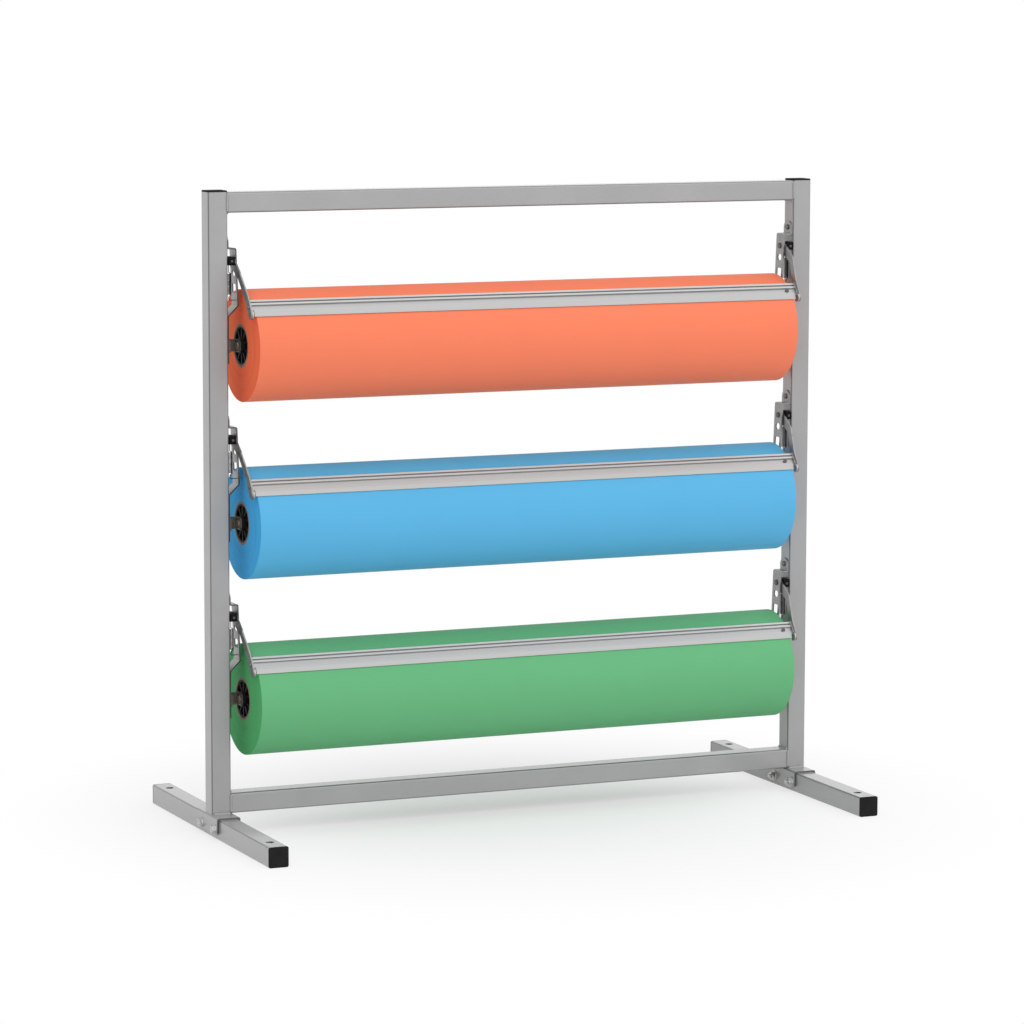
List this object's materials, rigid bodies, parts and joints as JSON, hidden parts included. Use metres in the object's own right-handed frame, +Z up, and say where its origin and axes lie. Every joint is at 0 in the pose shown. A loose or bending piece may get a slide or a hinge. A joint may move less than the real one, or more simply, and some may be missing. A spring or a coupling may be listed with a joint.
{
  "type": "paper roll rack",
  "caption": "Floor rack of square steel tube that carries wide paper rolls one above the other, each under a sprung cutter bar on swing arms.",
  "frame": {"origin": "on the floor, at the middle of the feet", "axes": "+X to the right across the rack, +Y to the back, +Z up; the cutter bars face -Y"},
  "size_m": [1.0456, 0.538, 0.998],
  "materials": {
    "frame_paint": "satin",
    "cap_plastic": "satin",
    "zinc": "zinc plated",
    "bracket_steel": "galvanised",
    "holder_steel": "galvanised",
    "spring_steel": "oiled",
    "cutter_metal": "mill",
    "blade_steel": "bright",
    "block_plastic": "moulded",
    "plug_plastic": "moulded",
    "core_board": "raw",
    "upper_paper": "matt",
    "middle_paper": "matt",
    "lower_paper": "matt"
  },
  "bodies": {
    "frame": {"left_upright": "frame_paint", "right_upright": "frame_paint", "top_bar": "frame_paint", "bottom_bar": "frame_paint", "left_foot": "frame_paint", "right_foot": "frame_paint", "left_saddle": "frame_paint", "right_saddle": "frame_paint", "upright_caps": "cap_plastic", "foot_caps": "cap_plastic", "saddle_bolts": "zinc", "saddle_nuts": "zinc", "bracket_screws": "zinc", "stub_axles": "zinc", "pivot_pins": "zinc", "upper_left_bracket": "bracket_steel", "upper_left_roll_holder": "holder_steel", "upper_left_spring": "spring_steel", "upper_right_bracket": "bracket_steel", "upper_right_roll_holder": "holder_steel", "upper_right_spring": "spring_steel", "middle_left_bracket": "bracket_steel", "middle_left_roll_holder": "holder_steel", "middle_left_spring": "spring_steel", "middle_right_bracket": "bracket_steel", "middle_right_roll_holder": "holder_steel", "middle_right_spring": "spring_steel", "lower_left_bracket": "bracket_steel", "lower_left_roll_holder": "holder_steel", "lower_left_spring": "spring_steel", "lower_right_bracket": "bracket_steel", "lower_right_roll_holder": "holder_steel", "lower_right_spring": "spring_steel"},
    "upper_cutter": {"upper_left_arm": "bracket_steel", "upper_right_arm": "bracket_steel", "upper_pivot_blocks": "block_plastic", "upper_cutter_bar": "cutter_metal", "upper_tear_blade": "blade_steel", "upper_cutter_screws": "zinc"},
    "upper_roll": {"upper_core_plugs": "plug_plastic", "upper_core_tube": "core_board", "upper_paper_roll": "upper_paper"},
    "middle_cutter": {"middle_left_arm": "bracket_steel", "middle_right_arm": "bracket_steel", "middle_pivot_blocks": "block_plastic", "middle_cutter_bar": "cutter_metal", "middle_tear_blade": "blade_steel", "middle_cutter_screws": "zinc"},
    "middle_roll": {"middle_core_plugs": "plug_plastic", "middle_core_tube": "core_board", "middle_paper_roll": "middle_paper"},
    "lower_cutter": {"lower_left_arm": "bracket_steel", "lower_right_arm": "bracket_steel", "lower_pivot_blocks": "block_plastic", "lower_cutter_bar": "cutter_metal", "lower_tear_blade": "blade_steel", "lower_cutter_screws": "zinc"},
    "lower_roll": {"lower_core_plugs": "plug_plastic", "lower_core_tube": "core_board", "lower_paper_roll": "lower_paper"}
  },
  "joints": [
    {"name": "upper_cutter_swing", "type": "hinge", "parent": "frame", "child": "upper_cutter", "pos_m": [0, 0, 0.8902], "axis": [-1, 0, 0], "range_deg": [0, 35], "stiffness_Nm_per_rad": 0.2, "springref_deg": -57.3, "deforming": ["upper_left_spring", "upper_right_spring"]},
    {"name": "upper_roll_spin", "type": "hinge", "parent": "frame", "child": "upper_roll", "pos_m": [0, 0, 0.7592], "axis": [1, 0, 0], "continuous": true},
    {"name": "middle_cutter_swing", "type": "hinge", "parent": "frame", "child": "middle_cutter", "pos_m": [0, 0, 0.6156], "axis": [-1, 0, 0], "range_deg": [0, 35], "stiffness_Nm_per_rad": 0.2, "springref_deg": -57.3, "deforming": ["middle_left_spring", "middle_right_spring"]},
    {"name": "middle_roll_spin", "type": "hinge", "parent": "frame", "child": "middle_roll", "pos_m": [0, 0, 0.4846], "axis": [1, 0, 0], "continuous": true},
    {"name": "lower_cutter_swing", "type": "hinge", "parent": "frame", "child": "lower_cutter", "pos_m": [0, 0, 0.341], "axis": [-1, 0, 0], "range_deg": [0, 35], "stiffness_Nm_per_rad": 0.2, "springref_deg": -57.3, "deforming": ["lower_left_spring", "lower_right_spring"]},
    {"name": "lower_roll_spin", "type": "hinge", "parent": "frame", "child": "lower_roll", "pos_m": [0, 0, 0.21], "axis": [1, 0, 0], "continuous": true}
  ]
}
